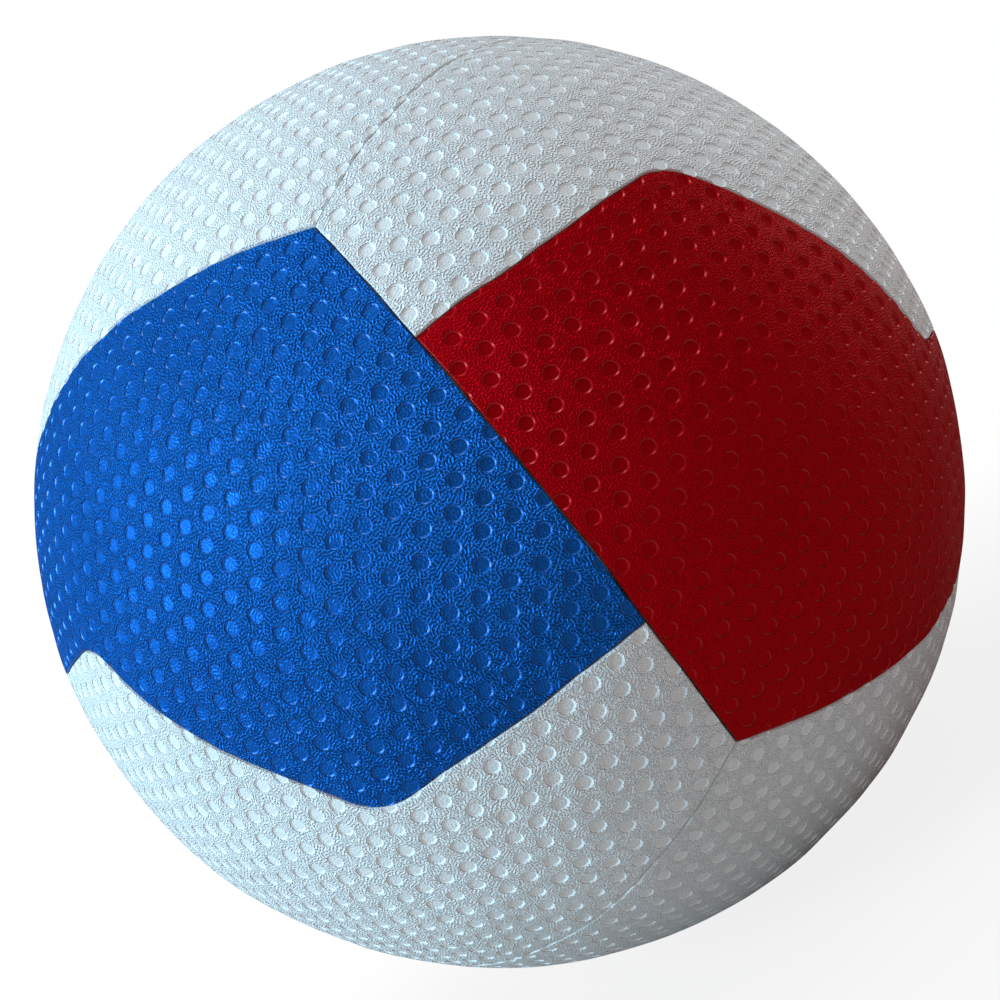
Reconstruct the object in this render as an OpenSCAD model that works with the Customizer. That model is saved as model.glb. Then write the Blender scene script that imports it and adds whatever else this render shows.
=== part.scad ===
// Indoor volleyball with a ten-panel glued cover.
// The main axis is Z, through the middles of the two end panels, and the centre of the ball is the origin.
// Between the end panels lie four faces, each a quarter of the way round and split into two panels
// by a stepped seam. The straight seam at the front faces -Y.

/* [Layers] */
// Diameter of the finished ball
ball_d = 210; // [204:0.5:216]
// Thickness of the cover panels
cover_t = 1.4; // [0.8:0.1:2.4]
// Thickness of the foam behind each cover panel
foam_t = 2; // [1:0.1:3]
// Thickness of the rubber carcass
carcass_t = 0.6; // [0.4:0.1:1.2]
// Thickness of the wound nylon thread
winding_t = 0.5; // [0.3:0.1:1]
// Wall of the bladder
bladder_t = 0.7; // [0.5:0.1:1.2]
// Glue line between one layer and the next
bond_gap = 0.1; // [0.05:0.05:0.3]

/* [Panel outlines] */
// Gap between neighbouring panels at a seam
seam_gap = 0.3; // [0.1:0.1:1]
// Width of an end panel over the ball, between the middles of two opposite edges
end_panel_w = 165; // [155:1:172]
// Length of a straight seam over the ball, from an upper end-panel corner to a lower one
straight_seam_l = 127; // [118:1:134]
// Distance along a straight seam between the two places where stepped seams meet it
step_spacing = 63; // [50:1:75]
// How far a stepped seam drops towards the equator on its way to its corner
step_drop = 1.5; // [0:0.1:4]
// Run of a stepped seam's slanted middle, along the equator
slant_run = 40; // [25:1:55]
// Radius of a stepped seam's two corners
step_corner_r = 12; // [6:1:16]

/* [Valve] */
// How far the valve's top lies below the ball's surface
valve_recess = 0.4; // [0.2:0.1:1]
// Outside diameter of the housing's sleeve
sleeve_d = 10; // [9:0.5:14]
// Length of the sleeve
sleeve_l = 15; // [11:0.5:20]
// Diameter of the flange that bonds the housing to the bladder
flange_d = 34; // [24:1:44]
// Thickness of the flange
flange_t = 1.2; // [0.8:0.1:2]
// Diameter of the plug's head
plug_head_d = 7.4; // [6.6:0.1:8]
// Thickness of the plug's head
plug_head_t = 1.6; // [1:0.1:2.5]
// Diameter of the plug's stem
plug_stem_d = 5.6; // [4.6:0.1:6]
// Diameter of the plug's foot, which holds it behind the sleeve
plug_foot_d = 8; // [7:0.1:10]
// Length of the plug's foot
plug_foot_l = 3; // [2:0.1:5]
// Diameter of the needle guide in the plug
needle_d = 2.8; // [2.2:0.1:3.4]
// Depth of the needle guide
needle_depth = 10; // [6:0.5:12]
// Depth of the flare at the mouth of the needle guide
needle_flare = 0.5; // [0.2:0.1:0.8]
// Clearance round the plug and round the sleeve
valve_clearance = 0.1; // [0.05:0.05:0.2]

/* [Hidden] */
$fn = 180;

// Outside radius of each layer, from the cover inwards
ball_r = ball_d / 2;
foam_r = ball_r - cover_t - bond_gap;
carcass_r = foam_r - foam_t - bond_gap;
winding_r = carcass_r - carcass_t - bond_gap;
bladder_r = winding_r - winding_t - bond_gap;
flange_r = bladder_r - bladder_t - bond_gap;

// Seams are laid out in degrees of latitude and longitude, from lengths over the ball
ball_girth = PI * ball_d;
degrees_per_mm = 360 / ball_girth;
corner_lat = straight_seam_l / 2 * degrees_per_mm;
end_edge_lat = 90 - end_panel_w / 2 * degrees_per_mm;

// An end panel's edge is a great circle between two corners, moved at its middle by the bow
end_edge_bow = end_edge_lat - atan(tan(corner_lat) / cos(45));
end_edge_steps = 8;
step_steps = 4;
corner_steps = 6;

// Places of the four faces round the main axis, in quarter turns
front_right = 0;
back_right = 1;
back_left = 2;
front_left = 3;

// Middles that see every point of their panel's outline
end_middle = [0, 0, 1];
side_middle = direction(20, 55);

// Heights of the valve along the main axis
valve_top = ball_r - valve_recess;
sleeve_bottom = valve_top - sleeve_l;
head_bottom = valve_top - plug_head_t;
foot_top = sleeve_bottom - valve_clearance;
plug_bottom = foot_top - plug_foot_l;
valve_hole_r = sleeve_d / 2 + valve_clearance;

panel_white = [0.93, 0.94, 0.94];
panel_blue = [0.05, 0.38, 0.80];
panel_red = [0.72, 0.06, 0.08];
foam_colour = [0.88, 0.85, 0.74];
carcass_colour = [0.35, 0.28, 0.22];
thread_colour = [0.86, 0.84, 0.78];
bladder_colour = [0.12, 0.12, 0.13];
housing_colour = [0.78, 0.78, 0.76];
plug_colour = [0.20, 0.20, 0.21];

function unit(v) = v / norm(v);

function direction(lat, lon) = [sin(lon) * cos(lat), -cos(lon) * cos(lat), sin(lat)];

// Place on the ball of a point given over a face: along the equator from the face's middle, and up
function on_ball(p) = direction(p.y * degrees_per_mm, 45 + p.x * degrees_per_mm);

function end_edge(lon) =
    direction(atan(tan(corner_lat) * cos(lon - 45) / cos(45)) + end_edge_bow * cos(2 * lon - 90), lon);

// Arc of radius r that rounds the corner b between a and c
function rounded(a, b, c, r) =
    let (
        u = unit(a - b),
        w = unit(c - b),
        half = acos(u * w) / 2,
        centre = b + unit(u + w) * r / sin(half),
        first = b + u * r / tan(half) - centre,
        last = b + w * r / tan(half) - centre
    )
    [for (i = [0 : corner_steps]) centre + r * unit(first * (corner_steps - i) + last * i)];

function line(a, b, steps) = [for (i = [0 : steps - 1]) a + (b - a) * i / steps];

// First half of a stepped seam, from the straight seam on its left to the end of its first corner
function half_step() =
    let (
        start = [-ball_girth / 8, step_spacing / 2],
        corner = [-slant_run / 2, step_spacing / 2 - step_drop],
        arc = rounded(start, corner, -corner, step_corner_r)
    )
    concat(line(start, arc[0], step_steps), arc);

// The whole stepped seam is the same after a half turn about the face's middle
function stepped_seam() =
    let (half = half_step(), last = len(half) - 1)
    [for (p = concat(half, [for (i = [last : -1 : 0]) -half[i]])) on_ball(p)];

// Outlines run anticlockwise as seen from outside the ball
function side_outline() = concat(
    [end_edge(0)],
    stepped_seam(),
    [for (i = [0 : end_edge_steps - 1]) end_edge(90 - 90 * i / end_edge_steps)]
);

function end_outline() = [
    for (quarter = [0 : 3])
    for (i = [0 : end_edge_steps - 1])
    let (p = end_edge(90 * i / end_edge_steps), c = cos(90 * quarter), s = sin(90 * quarter))
    [c * p.x - s * p.y, s * p.x + c * p.y, p.z]
];

// Outline drawn in by half a seam gap on every side
function drawn_in(path) =
    let (n = len(path))
    [
        for (i = [0 : n - 1])
        let (
            before = unit(cross(path[(i + n - 1) % n], path[i])),
            after = unit(cross(path[i], path[(i + 1) % n]))
        )
        path[i] + seam_gap / 2 / ball_r * (before + after) / (1 + before * after)
    ];

// Cone from the ball's centre through a panel's outline, ending well outside the ball
module seam_cone(path, middle) {
    n = len(path);
    end_r = 2 * ball_r;
    polyhedron(
        points = concat([[0, 0, 0], end_r * middle], end_r * path),
        faces = concat(
            [for (i = [0 : n - 1]) [0, i + 2, (i + 1) % n + 2]],
            [for (i = [0 : n - 1]) [1, (i + 1) % n + 2, i + 2]]
        )
    );
}

// Round shell, turned so that its poles lie clear of an upper right-hand panel
module shell(r, t) {
    rotate([90, 0, 135])
        difference() {
            sphere(r);
            sphere(r - t);
        }
}

module side_piece(r, t) {
    intersection() {
        shell(r, t);
        seam_cone(drawn_in(side_outline()), side_middle);
    }
}

module end_piece(r, t) {
    intersection() {
        shell(r, t);
        seam_cone(drawn_in(end_outline()), end_middle);
    }
}

// Hole for the valve, through whatever layers it meets at the top
module valve_hole() {
    translate([0, 0, ball_r / 2])
        cylinder(r = valve_hole_r, h = ball_r);
}

// Half turn about the middle of the front right face, which swaps upper and lower panels
module turned_over() {
    rotate(a = 180, v = direction(0, 45))
        children();
}

module upper_side(face, r, t) {
    rotate([0, 0, 90 * face])
        side_piece(r, t);
}

module lower_side(face, r, t) {
    rotate([0, 0, 90 * face])
        turned_over()
            side_piece(r, t);
}

module top_end(r, t) {
    difference() {
        end_piece(r, t);
        valve_hole();
    }
}

module bottom_end(r, t) {
    turned_over()
        end_piece(r, t);
}

module whole_layer(r, t) {
    difference() {
        shell(r, t);
        valve_hole();
    }
}

// Cover panels
module top_end_panel() { color(panel_white) top_end(ball_r, cover_t); }
module bottom_end_panel() { color(panel_white) bottom_end(ball_r, cover_t); }
module upper_panel_front_left() { color(panel_blue) upper_side(front_left, ball_r, cover_t); }
module lower_panel_front_left() { color(panel_white) lower_side(front_left, ball_r, cover_t); }
module upper_panel_front_right() { color(panel_white) upper_side(front_right, ball_r, cover_t); }
module lower_panel_front_right() { color(panel_red) lower_side(front_right, ball_r, cover_t); }
module upper_panel_back_right() { color(panel_blue) upper_side(back_right, ball_r, cover_t); }
module lower_panel_back_right() { color(panel_white) lower_side(back_right, ball_r, cover_t); }
module upper_panel_back_left() { color(panel_white) upper_side(back_left, ball_r, cover_t); }
module lower_panel_back_left() { color(panel_red) lower_side(back_left, ball_r, cover_t); }

// Foam behind each cover panel
module top_end_foam() { color(foam_colour) top_end(foam_r, foam_t); }
module bottom_end_foam() { color(foam_colour) bottom_end(foam_r, foam_t); }
module upper_foam_front_left() { color(foam_colour) upper_side(front_left, foam_r, foam_t); }
module lower_foam_front_left() { color(foam_colour) lower_side(front_left, foam_r, foam_t); }
module upper_foam_front_right() { color(foam_colour) upper_side(front_right, foam_r, foam_t); }
module lower_foam_front_right() { color(foam_colour) lower_side(front_right, foam_r, foam_t); }
module upper_foam_back_right() { color(foam_colour) upper_side(back_right, foam_r, foam_t); }
module lower_foam_back_right() { color(foam_colour) lower_side(back_right, foam_r, foam_t); }
module upper_foam_back_left() { color(foam_colour) upper_side(back_left, foam_r, foam_t); }
module lower_foam_back_left() { color(foam_colour) lower_side(back_left, foam_r, foam_t); }

// Rubber shell that the panels are glued on
module carcass() { color(carcass_colour) whole_layer(carcass_r, carcass_t); }

// Nylon thread wound over the bladder in every direction, as one thin layer
module thread_winding() { color(thread_colour) whole_layer(winding_r, winding_t); }

// Air-tight inner ball
module bladder() { color(bladder_colour) whole_layer(bladder_r, bladder_t); }

// Rubber sleeve for the plug, with a round flange that bonds to the inside of the bladder
module valve_housing() {
    color(housing_colour)
        difference() {
            union() {
                translate([0, 0, sleeve_bottom])
                    cylinder(d = sleeve_d, h = sleeve_l);
                intersection() {
                    shell(flange_r, flange_t);
                    cylinder(d = flange_d, h = ball_r);
                }
            }
            translate([0, 0, foot_top])
                cylinder(d = plug_stem_d + 2 * valve_clearance, h = 2 * sleeve_l);
            translate([0, 0, head_bottom - valve_clearance])
                cylinder(d = plug_head_d + 2 * valve_clearance, h = 2 * plug_head_t);
        }
}

// Turned plug with a head, a stem and a tapered foot, and a blind guide for the needle from above
module valve_plug() {
    color(plug_colour)
        rotate_extrude()
            polygon([
                [0, plug_bottom],
                [plug_stem_d / 2, plug_bottom],
                [plug_foot_d / 2, foot_top],
                [plug_stem_d / 2, foot_top],
                [plug_stem_d / 2, head_bottom],
                [plug_head_d / 2, head_bottom],
                [plug_head_d / 2, valve_top],
                [needle_d / 2 + needle_flare, valve_top],
                [needle_d / 2, valve_top - needle_flare],
                [needle_d / 2, valve_top - needle_depth],
                [0, valve_top - needle_depth]
            ]);
}

top_end_panel();
bottom_end_panel();
upper_panel_front_left();
lower_panel_front_left();
upper_panel_front_right();
lower_panel_front_right();
upper_panel_back_right();
lower_panel_back_right();
upper_panel_back_left();
lower_panel_back_left();
top_end_foam();
bottom_end_foam();
upper_foam_front_left();
lower_foam_front_left();
upper_foam_front_right();
lower_foam_front_right();
upper_foam_back_right();
lower_foam_back_right();
upper_foam_back_left();
lower_foam_back_left();
carcass();
thread_winding();
bladder();
valve_housing();
valve_plug();
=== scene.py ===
import math

import bmesh
import bpy
from mathutils import Matrix, Vector, noise


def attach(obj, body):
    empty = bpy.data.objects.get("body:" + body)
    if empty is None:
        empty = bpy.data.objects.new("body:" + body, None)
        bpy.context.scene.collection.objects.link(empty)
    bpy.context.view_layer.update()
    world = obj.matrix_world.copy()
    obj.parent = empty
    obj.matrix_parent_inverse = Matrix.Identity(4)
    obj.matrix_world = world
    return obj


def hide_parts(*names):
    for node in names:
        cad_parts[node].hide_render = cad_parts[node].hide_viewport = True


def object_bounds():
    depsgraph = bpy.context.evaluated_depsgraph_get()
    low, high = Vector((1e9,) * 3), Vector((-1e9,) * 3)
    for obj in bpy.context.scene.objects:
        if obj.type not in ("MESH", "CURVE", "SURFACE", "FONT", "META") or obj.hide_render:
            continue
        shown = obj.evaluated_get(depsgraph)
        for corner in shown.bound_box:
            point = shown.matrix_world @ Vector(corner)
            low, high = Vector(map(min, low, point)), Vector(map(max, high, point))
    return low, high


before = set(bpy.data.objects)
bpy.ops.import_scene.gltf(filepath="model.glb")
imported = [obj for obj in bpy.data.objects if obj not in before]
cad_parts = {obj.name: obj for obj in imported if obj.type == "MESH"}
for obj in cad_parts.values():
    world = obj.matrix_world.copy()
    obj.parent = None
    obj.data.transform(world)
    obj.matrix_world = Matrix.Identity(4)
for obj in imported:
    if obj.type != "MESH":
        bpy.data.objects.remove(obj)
cad_low, cad_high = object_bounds()


# Bladder
# The air-tight inner ball, moulded in black butyl rubber and dusted with talc so that it doesn't
# stick to itself. It is blown up inside the winding, which holds it round.

class Socket:
    """An output of a node. Arithmetic on it adds Math nodes to the same tree."""

    def __init__(self, nodes, link):
        self.nodes = nodes
        self.link = link

    def __add__(self, other):
        return self.nodes.math("ADD", self, other)

    def __sub__(self, other):
        return self.nodes.math("SUBTRACT", self, other)

    def __rsub__(self, other):
        return self.nodes.math("SUBTRACT", other, self)

    def __mul__(self, other):
        return self.nodes.math("MULTIPLY", self, other)

    def __truediv__(self, other):
        return self.nodes.math("DIVIDE", self, other)

    def __rtruediv__(self, other):
        return self.nodes.math("DIVIDE", other, self)

    __radd__ = __add__
    __rmul__ = __mul__


class Nodes:
    """Adds nodes to one tree, for a material or for geometry."""

    def __init__(self, tree):
        self.tree = tree

    def add(self, kind, settings, sockets, output=0):
        """A node of a kind, its settings made first, then the values and links of its sockets."""
        node = self.tree.nodes.new(kind)
        for setting, value in settings.items():
            setattr(node, setting, value)
        for key, value in sockets.items():
            for item in value if isinstance(value, list) else [value]:
                if isinstance(item, Socket):
                    self.tree.links.new(item.link, node.inputs[key])
                else:
                    node.inputs[key].default_value = item
        return self.of(node, output)

    def of(self, node, output):
        return Socket(self, node.outputs[output])

    def math(self, operation, *values):
        return self.add("ShaderNodeMath", {"operation": operation}, dict(enumerate(values)))

    def ramp(self, value, low, high):
        """0 below low and 1 above high, with a smooth rise between them."""
        limits = {"Value": value, "From Min": low, "From Max": high}
        return self.add("ShaderNodeMapRange", {"interpolation_type": "SMOOTHSTEP"}, limits)

    def mix(self, factor, first, second):
        """A colour between two colours."""
        return self.add("ShaderNodeMix", {"data_type": "RGBA"}, {0: factor, 6: first, 7: second}, 2)

    def noise(self, vector, scale, detail=2.0, output="Fac"):
        sockets = {"Vector": vector, "Scale": scale, "Detail": detail}
        return self.add("ShaderNodeTexNoise", {}, sockets, output)


def new_material(name):
    """A new material, with its Nodes, its Principled shader and its Object coordinates."""
    material = bpy.data.materials.new(name)
    material.use_nodes = True
    nodes = Nodes(material.node_tree)
    shader = material.node_tree.nodes["Principled BSDF"]
    place = nodes.add("ShaderNodeTexCoord", {}, {}, "Object")
    return material, nodes, shader, place


def feed(nodes, shader, **sockets):
    """Links values that change over the surface to the shader's sockets, with _ for a space."""
    for name, value in sockets.items():
        nodes.tree.links.new(value.link, shader.inputs[name.replace("_", " ")])


def bump(nodes, height, distance):
    sockets = {"Height": height, "Distance": distance, "Strength": 1.0}
    return nodes.add("ShaderNodeBump", {}, sockets)


def moulded_rubber(name, colour, dust_colour, dust):
    """Matt rubber with a fine mould skin and talc or bloom lying on it in patches."""
    material, nodes, shader, place = new_material(name)
    patches = nodes.ramp(nodes.noise(place, 60.0, 4.0), 0.42, 0.68) * dust
    skin = nodes.noise(place, 2500.0, 3.0)
    feed(
        nodes,
        shader,
        Base_Color=nodes.mix(patches, colour, dust_colour),
        Roughness=0.55 + 0.2 * skin + 0.2 * patches,
        Normal=bump(nodes, skin, 0.00003),
    )
    return material


def finish_node(node, material):
    """Gives a CAD node that keeps its shape its finish."""
    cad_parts[node].material_slots[0].material = material


bladder_black = (0.014, 0.014, 0.016, 1.0)
talc = (0.35, 0.34, 0.33, 1.0)
finish_node("bladder", moulded_rubber("bladder_rubber", bladder_black, talc, 0.5))


# Thread winding
# Nylon thread, wound over the bladder in every direction until it covers it, which keeps the ball
# round under pressure. The layer is one thin shell here, with the threads in its finish.

def wound_thread(name, colour, shade):
    """Pale thread that crosses itself in two bent directions, darker between the turns as painted
    shade.
    """
    material, nodes, shader, place = new_material(name)
    sockets = {
        "Vector": place,
        "Scale": 500.0,
        "Distortion": 6.0,
        "Detail": 1.0,
        "Detail Scale": 0.2,
    }
    strands = []
    for direction in ("X", "Z"):
        settings = {"wave_type": "BANDS", "bands_direction": direction}
        strands.append(nodes.add("ShaderNodeTexWave", settings, sockets, "Fac"))
    top = nodes.math("MAXIMUM", *strands)
    feed(
        nodes,
        shader,
        Base_Color=nodes.mix(top, shade, colour),
        Roughness=0.75 - 0.2 * top,
        Normal=bump(nodes, top, 0.0002),
    )
    return material


thread_pale = (0.71, 0.67, 0.57, 1.0)
thread_painted_shade = (0.30, 0.27, 0.21, 1.0)
finish_node("thread_winding", wound_thread("nylon_thread", thread_pale, thread_painted_shade))


# Carcass
# The round rubber shell, vulcanised over the winding, that every panel is glued on.
# Natural rubber, brown, with a matt skin from its mould.

carcass_brown = (0.10, 0.065, 0.04, 1.0)
rubber_bloom = (0.22, 0.17, 0.12, 1.0)
finish_node("carcass", moulded_rubber("carcass_rubber", carcass_brown, rubber_bloom, 0.6))


# Foam backings
# A cut piece of cream foam behind each cover panel, glued to the panel and to the carcass.
# It is what makes the ball soft to the hand, and only its cut edge shows, down in a seam.

def cut_foam(name, colour, pore_shade_colour):
    """Foam with small round cells of uneven size, darker in the cells as painted shade."""
    material, nodes, shader, place = new_material(name)
    cells = nodes.add("ShaderNodeTexVoronoi", {}, {"Vector": place, "Scale": 1600.0}, "Distance")
    pore = 1.0 - nodes.ramp(cells, 0.1, 0.45)
    feed(
        nodes,
        shader,
        Base_Color=nodes.mix(pore * 0.6, colour, pore_shade_colour),
        Roughness=0.8 + 0.15 * pore,
        Normal=bump(nodes, 1.0 - pore, 0.0001),
    )
    return material


foam_cream = (0.75, 0.69, 0.51, 1.0)
foam_pore_shade = (0.42, 0.36, 0.23, 1.0)
panel_foam = cut_foam("panel_foam", foam_cream, foam_pore_shade)
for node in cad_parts:
    if "_foam" in node:
        finish_node(node, panel_foam)


# Valve
# A pale rubber sleeve bonded to the bladder, and in it the dark self-sealing plug that a pump's
# needle goes through. Both are moulded, and end a little below the cover's surface.

housing_grey = (0.57, 0.57, 0.54, 1.0)
housing_bloom = (0.70, 0.69, 0.65, 1.0)
finish_node("valve_housing", moulded_rubber("housing_rubber", housing_grey, housing_bloom, 0.4))
plug_black = (0.033, 0.033, 0.036, 1.0)
plug_bloom = (0.12, 0.12, 0.12, 1.0)
finish_node("valve_plug", moulded_rubber("plug_rubber", plug_black, plug_bloom, 0.3))


# Cover panels
# Ten panels of synthetic leather, cut from a sheet embossed with round dimples and a fine grain and
# glued edge to edge: two square ones at the ends, and eight of one stepped shape between them. Each
# is cut from the sheet at its own angle, and its edge rolls down to the seam.

ball_radius = (cad_high.x - cad_low.x) / 2
cover_thickness = 0.0014
end_panel_width = 0.165
straight_seam = 0.127
step_spacing = 0.063
step_drop = 0.0015
slant_run = 0.040
step_corner = 0.012
edge_point_spacing = 0.002
quarter = math.radians(90)


def on_ball(along, up):
    """Direction of a place on the ball, from its distances along the equator and up from it."""
    lon, lat = along / ball_radius, up / ball_radius
    return Vector((math.sin(lon) * math.cos(lat), -math.cos(lon) * math.cos(lat), math.sin(lat)))


def end_edge(lon):
    """Point on an end panel's edge to the side panels: a great circle, bowed at its middle."""
    corner = straight_seam / 2 / ball_radius
    turn = lon - quarter / 2
    great_circle = math.atan(math.tan(corner) * math.cos(turn) / math.cos(quarter / 2))
    middle = math.atan(math.tan(corner) / math.cos(quarter / 2))
    bow = quarter - end_panel_width / 2 / ball_radius - middle
    return on_ball(lon * ball_radius, (great_circle + bow * math.cos(2 * turn)) * ball_radius)


def points_between(first, last):
    """Evenly spaced points from first up to last, which is left out."""
    steps = max(1, round((last - first).length / edge_point_spacing))
    return [first.lerp(last, i / steps) for i in range(steps)]


def rounded_corner(before, corner, after, radius):
    """Arc that rounds a corner of a flat outline."""
    u, w = (before - corner).normalized(), (after - corner).normalized()
    half = u.angle(w) / 2
    centre = corner + (u + w).normalized() * radius / math.sin(half)
    first = corner + u * radius / math.tan(half) - centre
    last = corner + w * radius / math.tan(half) - centre
    steps = round(first.angle(last) * radius / edge_point_spacing)
    return [centre + first.lerp(last, i / steps).normalized() * radius for i in range(steps + 1)]


def stepped_seam():
    """The seam that splits a face into two panels, from its left edge to its right edge."""
    start = Vector((-quarter / 2 * ball_radius, step_spacing / 2))
    corner = Vector((-slant_run / 2, step_spacing / 2 - step_drop))
    arc = rounded_corner(start, corner, -corner, step_corner)
    half = points_between(start, arc[0]) + arc + points_between(arc[-1], Vector((0, 0)))[1:]
    whole = half + [Vector((0, 0))] + [-point for point in reversed(half)]
    return [on_ball(point.x + quarter / 2 * ball_radius, point.y) for point in whole]


def arc_between(first, last):
    """Points along the great circle between two directions, ends left out."""
    steps = round(first.angle(last) * ball_radius / edge_point_spacing)
    return [first.slerp(last, i / steps) for i in range(1, steps)]


edge_steps = round(end_panel_width / edge_point_spacing)
edge_points = [end_edge(quarter * i / edge_steps) for i in range(edge_steps + 1)]
seam = stepped_seam()
side_outline = (
    [edge_points[0]] + arc_between(edge_points[0], seam[0]) + seam
    + arc_between(seam[-1], edge_points[-1]) + edge_points[:0:-1]
)
end_outline = [
    Matrix.Rotation(quarter * i, 3, "Z") @ point for i in range(4) for point in edge_points[:-1]
]


def drawn_in(outline, distance):
    """The outline moved inwards over the ball."""
    moved = []
    befores, afters = outline[-1:] + outline[:-1], outline[1:] + outline[:1]
    for before, point, after in zip(befores, outline, afters):
        m = before.cross(point).normalized()
        n = point.cross(after).normalized()
        moved.append(point + (m + n) / (1 + m.dot(n)) * (distance / ball_radius))
    return moved


# How far a seam wavers, as a share of the radius, how often, and the seed that keeps its course the
# same in every run. Then half of its gap, and how wide and deep a panel's edge rolls down to it
seam_waver = 0.0025
seam_wavers = 9.0
seam_seed = 5
noise.seed_set(seam_seed)
seam_half_gap = 0.00014
roll_width = 0.00035
roll_depth = 0.00048
roll_angles = [math.radians(a) for a in (0, 25, 50, 72)]


def hand_laid(outline):
    """The outline with the small waver of a hand-glued seam, the same for both of its panels."""
    moved = [point + seam_waver * noise.noise_vector(point * seam_wavers) for point in outline]
    return [point.normalized() for point in moved]


def panel_blank(name, outline, middle):
    """Solid that gives a panel its edge: a cone from the ball's centre, rolled over at the surface,
    and then a roof that rises clear of the sheet."""
    profile = [
        (
            seam_half_gap + roll_width * (1 - math.cos(a)),
            ball_radius - roll_depth * (1 - math.sin(a)),
        )
        for a in roll_angles
    ]
    inset, radius = profile[-1]
    rise = roll_depth / roll_width / math.tan(roll_angles[-1])
    profile.append((inset + 2 * roll_width, radius + 2 * roll_width * rise))
    mesh = bmesh.new()
    rings = [[mesh.verts.new(p.normalized() * r) for p in drawn_in(outline, i)] for i, r in profile]
    centre = mesh.verts.new((0, 0, 0))
    roof = mesh.verts.new(middle * 2 * ball_radius)
    count = len(outline)
    for i in range(count):
        j = (i + 1) % count
        mesh.faces.new((centre, rings[0][j], rings[0][i]))
        for low, high in zip(rings, rings[1:]):
            mesh.faces.new((low[i], low[j], high[j], high[i]))
        mesh.faces.new((roof, rings[-1][i], rings[-1][j]))
    data = bpy.data.meshes.new(name)
    mesh.to_mesh(data)
    mesh.free()
    return data


def turned(nodes, angle):
    """Rotation about Z."""
    euler = nodes.add("ShaderNodeCombineXYZ", {}, {"Z": angle})
    return nodes.add("FunctionNodeEulerToRotation", {}, {"Euler": euler})


def parts(nodes, vector):
    """The three numbers of a vector."""
    split = nodes.tree.nodes.new("ShaderNodeSeparateXYZ")
    nodes.tree.links.new(vector.link, split.inputs[0])
    return [nodes.of(split, axis) for axis in "XYZ"]


# Keeps a division away from zero in the middle of a sheet
least_run = 1e-7


def wrapped(nodes, flat, radius):
    """Place on the ball of a place on the flat sheet, with distances from the middle kept."""
    x, y, z = parts(nodes, flat)
    run = nodes.math("MAXIMUM", nodes.math("SQRT", x * x + y * y), least_run)
    angle = run / radius
    spread = nodes.math("SINE", angle) * (radius + z) / run
    height = nodes.math("COSINE", angle) * (radius + z)
    return nodes.add("ShaderNodeCombineXYZ", {}, {"X": x * spread, "Y": y * spread, "Z": height})


def unwrapped(nodes, placed, radius):
    """Place on the flat sheet of a place on the ball."""
    x, y, z = parts(nodes, placed)
    run = nodes.math("MAXIMUM", nodes.math("SQRT", x * x + y * y), least_run)
    spread = nodes.math("ARCTAN2", run, z) * radius / run
    return nodes.add("ShaderNodeCombineXYZ", {}, {"X": x * spread, "Y": y * spread})


dimple_sides = 18
dimple_radius = 0.0015
dimple_depth = 0.00032
dimple_wall = 0.00045
weld_distance = 0.00001
hollow_segments, hollow_rings = 96, 48
wave_scale = 45.0
crease_angle = math.radians(24)


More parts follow.
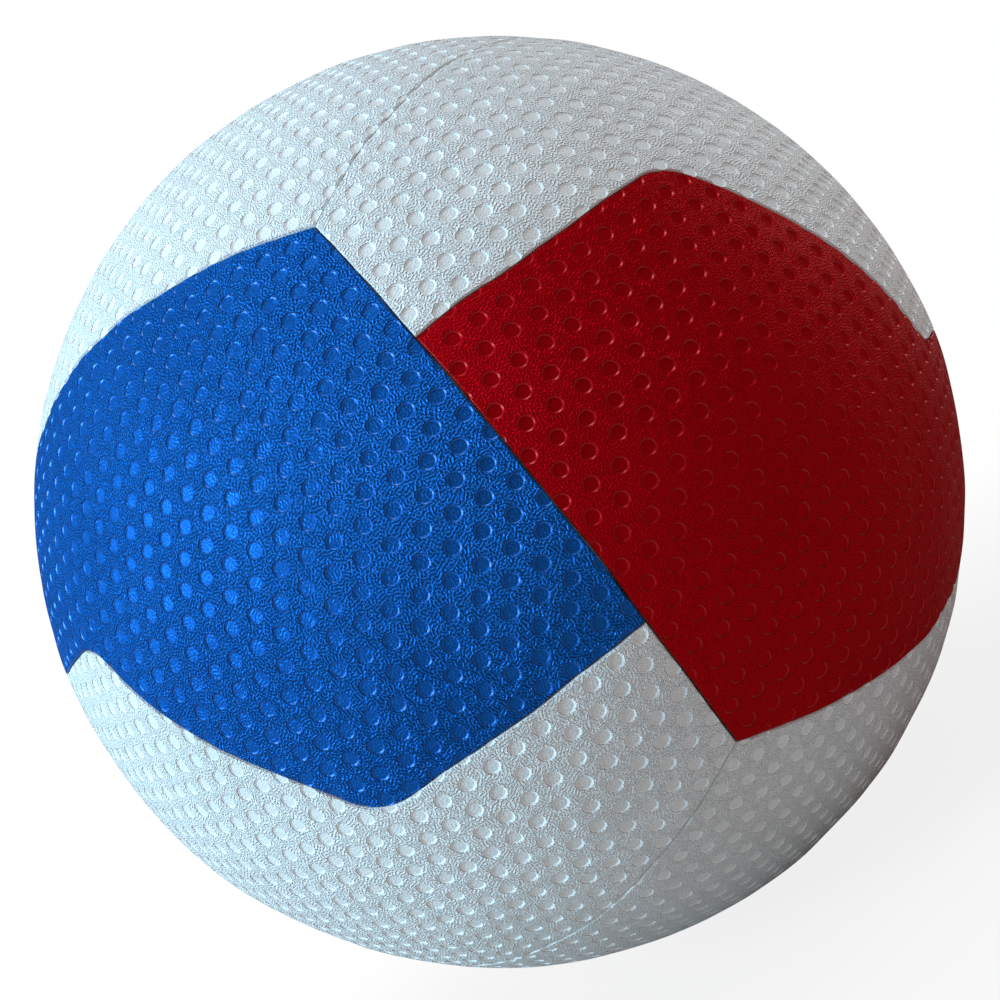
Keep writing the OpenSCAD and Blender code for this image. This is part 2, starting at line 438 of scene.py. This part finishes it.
def embossed_panel_tree():
    """Node tree that embosses a sheet with dimples, wraps it on the ball and trims it to shape."""
    tree = bpy.data.node_groups.new("embossed_panel", "GeometryNodeTree")
    tree.interface.new_socket("Geometry", in_out="OUTPUT", socket_type="NodeSocketGeometry")
    inputs = {
        "Blank": "Geometry",
        "Ball radius": "Float",
        "Cover thickness": "Float",
        "Dimple pitch": "Float",
        "Dimple radius": "Float",
        "Dimple depth": "Float",
        "Wall width": "Float",
        "Columns": "Int",
        "Sheet turn": "Float",
        "Sheet shift": "Vector",
        "Panel place": "Rotation",
        "Valve cutter": "Object",
        "Unevenness": "Float",
        "Finish": "Material",
    }
    for label, kind in inputs.items():
        tree.interface.new_socket(label, in_out="INPUT", socket_type="NodeSocket" + kind)
    nodes = Nodes(tree)
    group = tree.nodes.new("NodeGroupInput")
    given = {label: nodes.of(group, label) for label in inputs}
    radius, pitch = given["Ball radius"], given["Dimple pitch"]
    position = nodes.add("GeometryNodeInputPosition", {}, {})

    # One cell of the sheet: a hexagon whose middle sinks to a round dimple with a flat floor
    sockets = {"Vertices": dimple_sides, "Radius": 1.0}
    cell = nodes.add("GeometryNodeMeshCircle", {"fill_type": "NGON"}, sockets)
    across, along, _ = parts(nodes, position)
    angle = nodes.math("ARCTAN2", along, across)
    sixth = math.radians(60)
    from_side = nodes.math("FLOORED_MODULO", angle, sixth) - sixth / 2
    hexagon = pitch * 0.5 / nodes.math("COSINE", from_side)
    rings = [
        (hexagon, 0.0),
        (given["Dimple radius"] + given["Wall width"] * 0.5, 0.0),
        (given["Dimple radius"] - given["Wall width"] * 0.5, given["Dimple depth"] * -1.0),
    ]
    top = True
    for number, (reach, height) in enumerate(rings):
        if number:
            extrude = tree.nodes.new("GeometryNodeExtrudeMesh")
            extrude.inputs["Offset Scale"].default_value = 0.0
            extrude.inputs["Individual"].default_value = False
            tree.links.new(cell.link, extrude.inputs["Mesh"])
            if number > 1:
                tree.links.new(top.link, extrude.inputs["Selection"])
            cell, top = nodes.of(extrude, "Mesh"), nodes.of(extrude, "Top")
        x = nodes.math("COSINE", angle) * reach
        y = nodes.math("SINE", angle) * reach
        ring = nodes.add("ShaderNodeCombineXYZ", {}, {"X": x, "Y": y, "Z": height})
        sockets = {"Geometry": cell, "Selection": top, "Position": ring}
        cell = nodes.add("GeometryNodeSetPosition", {}, sockets)

    # The places of the cells: columns that stand half a pitch higher every other time
    column_step = pitch * math.cos(sixth / 2)
    columns = given["Columns"]
    sockets = {
        "Size X": (columns - 1.0) * column_step,
        "Size Y": (columns - 1.0) * pitch,
        "Vertices X": columns,
        "Vertices Y": columns,
    }
    grid = nodes.add("GeometryNodeMeshGrid", {}, sockets)
    column = nodes.math("ROUND", across / column_step)
    lift = nodes.math("FLOORED_MODULO", column, 2.0) * pitch * 0.5
    offset = nodes.add("ShaderNodeCombineXYZ", {}, {"Y": lift})
    grid = nodes.add("GeometryNodeSetPosition", {}, {"Geometry": grid, "Offset": offset})
    turn = turned(nodes, given["Sheet turn"])
    sockets = {"Geometry": grid, "Translation": given["Sheet shift"], "Rotation": turn}
    grid = nodes.add("GeometryNodeTransform", {}, sockets)

    # Cells are kept where the blank stands over them, or passes close by
    sockets = {"Vector": wrapped(nodes, position, radius), "Rotation": given["Panel place"]}
    placed = nodes.add("FunctionNodeRotateVector", {}, sockets)
    sockets = {
        "Target Geometry": given["Blank"],
        "Source Position": placed,
        "Ray Direction": placed,
        "Ray Length": radius * 2.0,
    }
    covered = nodes.add("GeometryNodeRaycast", {}, sockets, "Is Hit")
    sockets = {"Geometry": given["Blank"], "Sample Position": placed}
    distance = nodes.add("GeometryNodeProximity", {"target_element": "FACES"}, sockets, "Distance")
    greater = {"operation": "GREATER_THAN"}
    far = nodes.add("FunctionNodeCompare", greater, {"A": distance, "B": pitch})
    outside = nodes.add("FunctionNodeBooleanMath", {"operation": "NIMPLY"}, {0: far, 1: covered})
    grid = nodes.add("GeometryNodeDeleteGeometry", {}, {"Geometry": grid, "Selection": outside})
    sockets = {"Points": grid, "Instance": cell, "Rotation": turn}
    sheet = nodes.add("GeometryNodeInstanceOnPoints", {}, sockets)
    sheet = nodes.add("GeometryNodeRealizeInstances", {}, {"Geometry": sheet})
    sockets = {"Geometry": sheet, "Distance": weld_distance}
    sheet = nodes.add("GeometryNodeMergeByDistance", {}, sockets)
    sockets = {"Geometry": sheet, "Position": wrapped(nodes, position, radius)}
    sheet = nodes.add("GeometryNodeSetPosition", {}, sockets)

    # The sheet's own edge is drawn together behind the ball's centre, which closes it for trimming
    border = nodes.add("GeometryNodeInputMeshEdgeNeighbors", {}, {}, "Face Count")
    settings = {"data_type": "INT", "operation": "EQUAL"}
    border = nodes.add("FunctionNodeCompare", settings, {"A": border, "B": 1})
    extrude = tree.nodes.new("GeometryNodeExtrudeMesh")
    extrude.mode = "EDGES"
    extrude.inputs["Offset Scale"].default_value = 0.0
    tree.links.new(sheet.link, extrude.inputs["Mesh"])
    tree.links.new(border.link, extrude.inputs["Selection"])
    behind = nodes.add("ShaderNodeCombineXYZ", {}, {"Z": radius * -0.2})
    mesh, top = nodes.of(extrude, "Mesh"), nodes.of(extrude, "Top")
    sockets = {"Geometry": mesh, "Selection": top, "Position": behind}
    closed = nodes.add("GeometryNodeSetPosition", {}, sockets)
    sockets = {"Geometry": closed, "Distance": weld_distance}
    closed = nodes.add("GeometryNodeMergeByDistance", {}, sockets)
    sockets = {"Geometry": closed, "Rotation": given["Panel place"]}
    closed = nodes.add("GeometryNodeTransform", {}, sockets)

    # Trimmed to the blank, hollowed to the cover's thickness, and cut for the valve if there is one
    settings = {"operation": "INTERSECT", "solver": "MANIFOLD"}
    panel = nodes.add("GeometryNodeMeshBoolean", settings, {1: [closed, given["Blank"]]})
    sockets = {
        "Segments": hollow_segments,
        "Rings": hollow_rings,
        "Radius": radius - given["Cover thickness"],
    }
    inside = nodes.add("GeometryNodeMeshUVSphere", {}, sockets)
    cutter = nodes.add("GeometryNodeObjectInfo", {}, {"Object": given["Valve cutter"]}, "Geometry")
    settings = {"operation": "DIFFERENCE", "solver": "MANIFOLD"}
    panel = nodes.add("GeometryNodeMeshBoolean", settings, {0: panel, 1: [inside, cutter]})

    # Kept for the finish: how far a point is sunk below the surface, and its place on the sheet
    length = nodes.add("ShaderNodeVectorMath", {"operation": "LENGTH"}, {0: position}, "Value")
    sunk = radius - length
    back = nodes.add("FunctionNodeInvertRotation", {}, {"Rotation": given["Panel place"]})
    flat = nodes.add("FunctionNodeRotateVector", {}, {"Vector": position, "Rotation": back})
    flat = unwrapped(nodes, flat, radius)
    for label, kind, value in (("sunk", "FLOAT", sunk), ("sheet", "FLOAT_VECTOR", flat)):
        sockets = {"Geometry": panel, "Name": label, "Value": value}
        panel = nodes.add("GeometryNodeStoreNamedAttribute", {"data_type": kind}, sockets)

    # Slow waves over the whole ball, the same on both sides of a seam
    waves = nodes.noise(position, wave_scale, 1.0, "Color")
    sockets = {0: waves, 1: (0.5, 0.5, 0.5)}
    waves = nodes.add("ShaderNodeVectorMath", {"operation": "SUBTRACT"}, sockets)
    sockets = {0: waves, "Scale": given["Unevenness"]}
    waves = nodes.add("ShaderNodeVectorMath", {"operation": "SCALE"}, sockets)
    panel = nodes.add("GeometryNodeSetPosition", {}, {"Geometry": panel, "Offset": waves})
    panel = nodes.add("GeometryNodeSetShadeSmooth", {}, {"Geometry": panel})
    bend = nodes.add("GeometryNodeInputMeshEdgeAngle", {}, {}, "Unsigned Angle")
    sharp = nodes.add("FunctionNodeCompare", greater, {"A": bend, "B": crease_angle})
    sockets = {"Geometry": panel, "Selection": sharp, "Shade Smooth": False}
    panel = nodes.add("GeometryNodeSetShadeSmooth", {"domain": "EDGE"}, sockets)
    panel = nodes.add("GeometryNodeRealizeInstances", {}, {"Geometry": panel})
    sockets = {"Geometry": panel, "Material": given["Finish"]}
    panel = nodes.add("GeometryNodeSetMaterial", {}, sockets)
    last = tree.nodes.new("NodeGroupOutput")
    tree.links.new(panel.link, last.inputs["Geometry"])
    return tree


# Microfibre of the cut edge, pale in itself, set to a mid grey: painted shade of the narrow gaps at
# the seams
microfibre_in_seam_shade = (0.42, 0.42, 0.40, 1.0)
skin_depth = 0.0005
grain_period = 0.00066


def grained_leather(name, colour, shade, painted_grain_shade, painted_floor_shade, pearl, grain_depth):
    """Satin synthetic leather: a worm-like grain, pressed flat on the dimple floors, glossy dimple
    walls and a cut edge of microfibre, pale in itself but coloured mid grey as painted shade of the
    seam's gap. Painted shade also darkens the grain's valleys and the dimple floors, under a random
    mottle of tone. Pearl pigment, where it has any, makes it gleam in its own colour."""
    material, nodes, shader, place = new_material(name)
    sunk = nodes.add("ShaderNodeAttribute", {"attribute_name": "sunk"}, {}, "Fac")
    sheet = nodes.add("ShaderNodeAttribute", {"attribute_name": "sheet"}, {}, "Vector")
    land = 1.0 - nodes.ramp(sunk, 0.05 * dimple_depth, 0.5 * dimple_depth)
    bottom = nodes.ramp(sunk, 0.75 * dimple_depth, 0.95 * dimple_depth)
    wall = (1.0 - land) * (1.0 - bottom)
    cut = nodes.ramp(sunk, skin_depth, skin_depth + 0.0002)
    sockets = {"Vector": sheet, "Scale": 0.5 / grain_period, "Frequency": 2.0, "Anisotropy": 0.0}
    phase = nodes.add("ShaderNodeTexGabor", {}, sockets, "Phase")
    worms = 0.5 + 0.5 * nodes.math("COSINE", phase * (2.0 * math.pi))
    fine = nodes.noise(place, 4500.0, 1.0)
    height = (worms + 0.25 * fine) * (0.15 + 0.85 * land)
    cavity = 1.0 - nodes.ramp(worms, 0.0, 0.6)
    mottle = nodes.noise(place, 35.0, 3.0)
    # Painted shade: the colour goes towards the darker shade colour in the grain's valleys and on
    # the dimple floors, plus a random mottle of tone
    painted_shade_and_mottle = cavity * painted_grain_shade * (0.1 + 0.9 * land) + painted_floor_shade * bottom
    painted_shade_and_mottle = painted_shade_and_mottle + 0.3 * (mottle - 0.35)
    body = nodes.mix(painted_shade_and_mottle, colour, shade)
    feed(
        nodes,
        shader,
        Base_Color=nodes.mix(cut, body, microfibre_in_seam_shade),
        Roughness=0.5 - 0.06 * worms + 0.1 * (mottle - 0.5) + 0.4 * cut,
        Coat_Weight=0.4 * wall * (1.0 - cut),
        Normal=bump(nodes, height, grain_depth),
    )
    if pearl:
        feed(nodes, shader, Metallic=pearl * (1.0 - cut))
    shader.inputs["Specular IOR Level"].default_value = 0.05
    shader.inputs["Specular Tint"].default_value = colour
    shader.inputs["Coat Roughness"].default_value = 0.3
    return material


# Each finish: its own colour, the darker colour that painted shade and mottle mix towards, and how
# strong the painted shade is in the grain and on the dimple floors
finishes = {
    "white": grained_leather(
        "panel_white",
        colour=(0.88, 0.88, 0.87, 1.0),
        shade=(0.46, 0.46, 0.45, 1.0),
        painted_grain_shade=0.3,
        painted_floor_shade=0.32,
        pearl=0.0,
        grain_depth=0.00036,
    ),
    "blue": grained_leather(
        "panel_blue",
        colour=(0.014, 0.155, 0.57, 1.0),
        shade=(0.001, 0.015, 0.09, 1.0),
        painted_grain_shade=0.65,
        painted_floor_shade=0.37,
        pearl=0.55,
        grain_depth=0.00044,
    ),
    "red": grained_leather(
        "panel_red",
        colour=(0.45, 0.0015, 0.006, 1.0),
        shade=(0.20, 0.0003, 0.001, 1.0),
        painted_grain_shade=0.35,
        painted_floor_shade=0.2,
        pearl=0.5,
        grain_depth=0.00016,
    ),
}


def valve_cutter():
    """Turned cutter for the hole over the valve, flared where the cover rolls down to it."""
    hole = 0.0051
    flare = 0.002
    reach = 0.004
    clearance = 0.0001
    sides = 48
    profile = [
        (hole, ball_radius - reach),
        (hole, ball_radius - roll_depth),
        (hole + roll_width, ball_radius + clearance),
        (hole + flare, ball_radius + reach),
    ]
    mesh = bmesh.new()
    turn = [2 * math.pi * i / sides for i in range(sides)]
    rings = []
    for r, z in profile:
        rings.append([mesh.verts.new((r * math.cos(a), r * math.sin(a), z)) for a in turn])
    for lower, upper in zip(rings, rings[1:]):
        for i in range(sides):
            j = (i + 1) % sides
            mesh.faces.new((lower[i], lower[j], upper[j], upper[i]))
    mesh.faces.new(rings[0][::-1])
    mesh.faces.new(rings[-1])
    data = bpy.data.meshes.new("valve_cutter")
    mesh.to_mesh(data)
    mesh.free()
    return bpy.data.objects.new("valve_cutter", data)


def make_panel(node, outline, middle, finish, sheet, cutter=None):
    """One cover panel, made by the node tree, as a plain mesh that stands for its CAD node."""
    turn, pitch, shift_x, shift_y = sheet
    east = Vector((0, 0, 1)).cross(middle)
    east = east.normalized() if east.length > 0.01 else Vector((1, 0, 0))
    place = Matrix((east, middle.cross(east), middle)).transposed()
    name = node + "_blank"
    blank = bpy.data.objects.new(name, panel_blank(name, hand_laid(outline), middle))
    bpy.context.scene.collection.objects.link(blank)
    modifier = blank.modifiers.new("embossed_panel", "NODES")
    modifier.node_group = panel_tree
    values = {
        "Ball radius": ball_radius,
        "Cover thickness": cover_thickness,
        "Dimple pitch": pitch,
        "Dimple radius": dimple_radius,
        "Dimple depth": dimple_depth,
        "Wall width": dimple_wall,
        "Columns": sheet_columns,
        "Sheet turn": math.radians(turn),
        "Sheet shift": (shift_x, shift_y, 0.0),
        "Panel place": place.to_euler(),
        "Valve cutter": cutter,
        "Unevenness": unevenness,
        "Finish": finishes[finish],
    }
    items = panel_tree.interface.items_tree
    sockets = {item.name: item.identifier for item in items if item.in_out == "INPUT"}
    for label, value in values.items():
        modifier[sockets[label]] = value
    weighted = blank.modifiers.new("crisp_rims", "WEIGHTED_NORMAL")
    weighted.keep_sharp = True
    depsgraph = bpy.context.evaluated_depsgraph_get()
    data = bpy.data.meshes.new_from_object(blank.evaluated_get(depsgraph))
    data.name = "cover_" + node
    data.materials.clear()
    data.materials.append(finishes[finish])
    bpy.data.objects.remove(blank)
    panel = bpy.data.objects.new("cover_" + node, data)
    bpy.context.scene.collection.objects.link(panel)
    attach(panel, "root")
    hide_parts(node)
    return panel


sheet_columns = 49
unevenness = 0.0012
panel_tree = embossed_panel_tree()
cutter = valve_cutter()
bpy.context.scene.collection.objects.link(cutter)
up = Vector((0, 0, 1))
middle_lon, middle_lat = math.radians(52), math.radians(15)
side_middle = on_ball(middle_lon * ball_radius, middle_lat * ball_radius)
half_turn = Matrix.Rotation(math.pi, 3, on_ball(quarter / 2 * ball_radius, 0))

# The sheet under each panel: its turn in degrees, its pitch, and its shift both ways
end_sheet = (2.0, 0.0062, -0.00134, -0.00101)
make_panel("top_end_panel", end_outline, up, "white", end_sheet, cutter)
end_sheet = (7.2, 0.00625, 0.00346, 0.00064)
make_panel("bottom_end_panel", [half_turn @ p for p in end_outline], -up, "white", end_sheet)
side_panels = [
    ("upper_panel_front_left", 3, False, "blue", (22.5, 0.00584, 0.00303, 0.00168)),
    ("lower_panel_front_left", 3, True, "white", (21.2, 0.0058, 0.00486, 0.00122)),
    ("upper_panel_front_right", 0, False, "white", (34.8, 0.006, 0.00191, 0.00128)),
    ("lower_panel_front_right", 0, True, "red", (29.6, 0.00592, -0.0008, 0.0009)),
    ("upper_panel_back_right", 1, False, "blue", (17.0, 0.00588, 0.0012, 0.0021)),
    ("lower_panel_back_right", 1, True, "white", (31.5, 0.00586, -0.0017, 0.0004)),
    ("upper_panel_back_left", 2, False, "white", (26.0, 0.00592, 0.0009, -0.0013)),
    ("lower_panel_back_left", 2, True, "red", (38.5, 0.0059, 0.0024, 0.0016)),
]
for node, face, lower, finish, sheet in side_panels:
    turn = Matrix.Rotation(quarter * face, 3, "Z") @ (half_turn if lower else Matrix.Identity(3))
    make_panel(node, [turn @ p for p in side_outline], turn @ side_middle, finish, sheet)
bpy.data.objects.remove(cutter)


# Studio
# A pale floor under the ball, a large soft window at its left, a weaker one over it, a weak one
# behind it and warm even light all round. The camera stands where the photographer stood, a little
# more than three ball radii away.

def camera_axes():
    """Right, up and back of the camera, which leans so that the ball's main axis leans left."""
    azimuth, elevation, roll = math.radians(-3.71), math.radians(0.27), math.radians(-39.32)
    level = Vector((math.cos(azimuth), math.sin(azimuth), 0))
    level_back = Vector((math.sin(azimuth), -math.cos(azimuth), 0))
    back = level_back * math.cos(elevation) + Vector((0, 0, math.sin(elevation)))
    upright = back.cross(level)
    right = level * math.cos(roll) + upright * math.sin(roll)
    return right, back.cross(right), back


def add_object(name, data, axes, location):
    made = bpy.data.objects.new(name, data)
    made.matrix_world = Matrix.Translation(location) @ Matrix(axes).transposed().to_4x4()
    bpy.context.scene.collection.objects.link(made)
    return made


right, above, back = camera_axes()
lens = bpy.data.cameras.new("photo_camera")
lens.lens = 53.6
lens.sensor_width = 36.0
lens.shift_y = 0.002
camera_place = back * 3.35 * ball_radius
camera = add_object("photo_camera", lens, (right, above, back), camera_place)
bpy.context.scene.camera = camera

window_distance = 1.1
window_size = 0.45


def add_window(name, across, height, towards, energy, colour):
    """A square soft light, given by its way from the ball in the camera's axes."""
    way = (right * across + above * height + back * towards).normalized()
    light = bpy.data.lights.new(name, "AREA")
    light.size = window_size
    light.energy = energy
    light.color = colour
    side = above.cross(way).normalized()
    add_object(name, light, (side, way.cross(side), way), way * window_distance)


add_window("window", -0.93, -0.14, 0.33, 17.0, (0.45, 0.79, 1.0))
add_window("skylight", -0.35, 0.90, 0.25, 7.0, (0.66, 0.87, 1.0))
add_window("far_window", 0.55, 0.70, -0.55, 2.0, (1.0, 0.94, 0.88))

world = bpy.data.worlds.new("studio")
world.use_nodes = True
bpy.context.scene.world = world
nodes = Nodes(world.node_tree)
path = world.node_tree.nodes.new("ShaderNodeLightPath")
way = nodes.add("ShaderNodeTexCoord", {}, {}, "Generated")
dot_product = {"operation": "DOT_PRODUCT"}
facing = nodes.add("ShaderNodeVectorMath", dot_product, {0: way, 1: back}, "Value")
shown = nodes.of(path, "Is Glossy Ray") + nodes.of(path, "Is Transmission Ray")
white = (1.0, 1.0, 1.0, 1.0)
room = (0.41, 0.355, 0.34, 1.0)
dark_card = (0.10, 0.09, 0.08, 1.0)
mirrored = nodes.mix(nodes.ramp(facing, -0.85, -1.0), dark_card, white)
around = nodes.mix(shown, room, mirrored)
backdrop = nodes.mix(nodes.of(path, "Is Camera Ray"), around, white)
world.node_tree.links.new(backdrop.link, world.node_tree.nodes["Background"].inputs["Color"])

floor_size = 6.0
floor_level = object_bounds()[0].z
bpy.ops.mesh.primitive_plane_add(size=floor_size, location=(0, 0, floor_level))
floor = bpy.context.object
floor.name = "floor"
material, nodes, shader, place = new_material("pale_floor")
shade = nodes.noise(place, 3.0)
feed(nodes, shader, Base_Color=nodes.mix(shade, (0.42, 0.32, 0.28, 1.0), (0.46, 0.36, 0.32, 1.0)))
shader.inputs["Roughness"].default_value = 0.9
path = material.node_tree.nodes.new("ShaderNodeLightPath")
away = nodes.add("ShaderNodeVectorMath", {"operation": "LENGTH"}, {0: place}, "Value")
glow = nodes.add("ShaderNodeEmission", {}, {"Color": white, "Strength": 1.0})
towards = nodes.add("ShaderNodeVectorMath", dot_product, {0: place, 1: back}, "Value")
shown = nodes.of(path, "Is Glossy Ray") + nodes.of(path, "Is Transmission Ray")
shown = nodes.of(path, "Is Camera Ray") + shown * nodes.ramp(towards, -0.2, -0.6)
seen = shown * (0.85 + 0.15 * nodes.ramp(away, 0.05, 0.3))
whitened = nodes.add("ShaderNodeMixShader", {}, {0: seen, 1: nodes.of(shader, "BSDF"), 2: glow})
surface = material.node_tree.nodes["Material Output"].inputs["Surface"]
material.node_tree.links.new(whitened.link, surface)
floor.data.materials.append(material)
bpy.context.scene.view_settings.view_transform = "Standard"
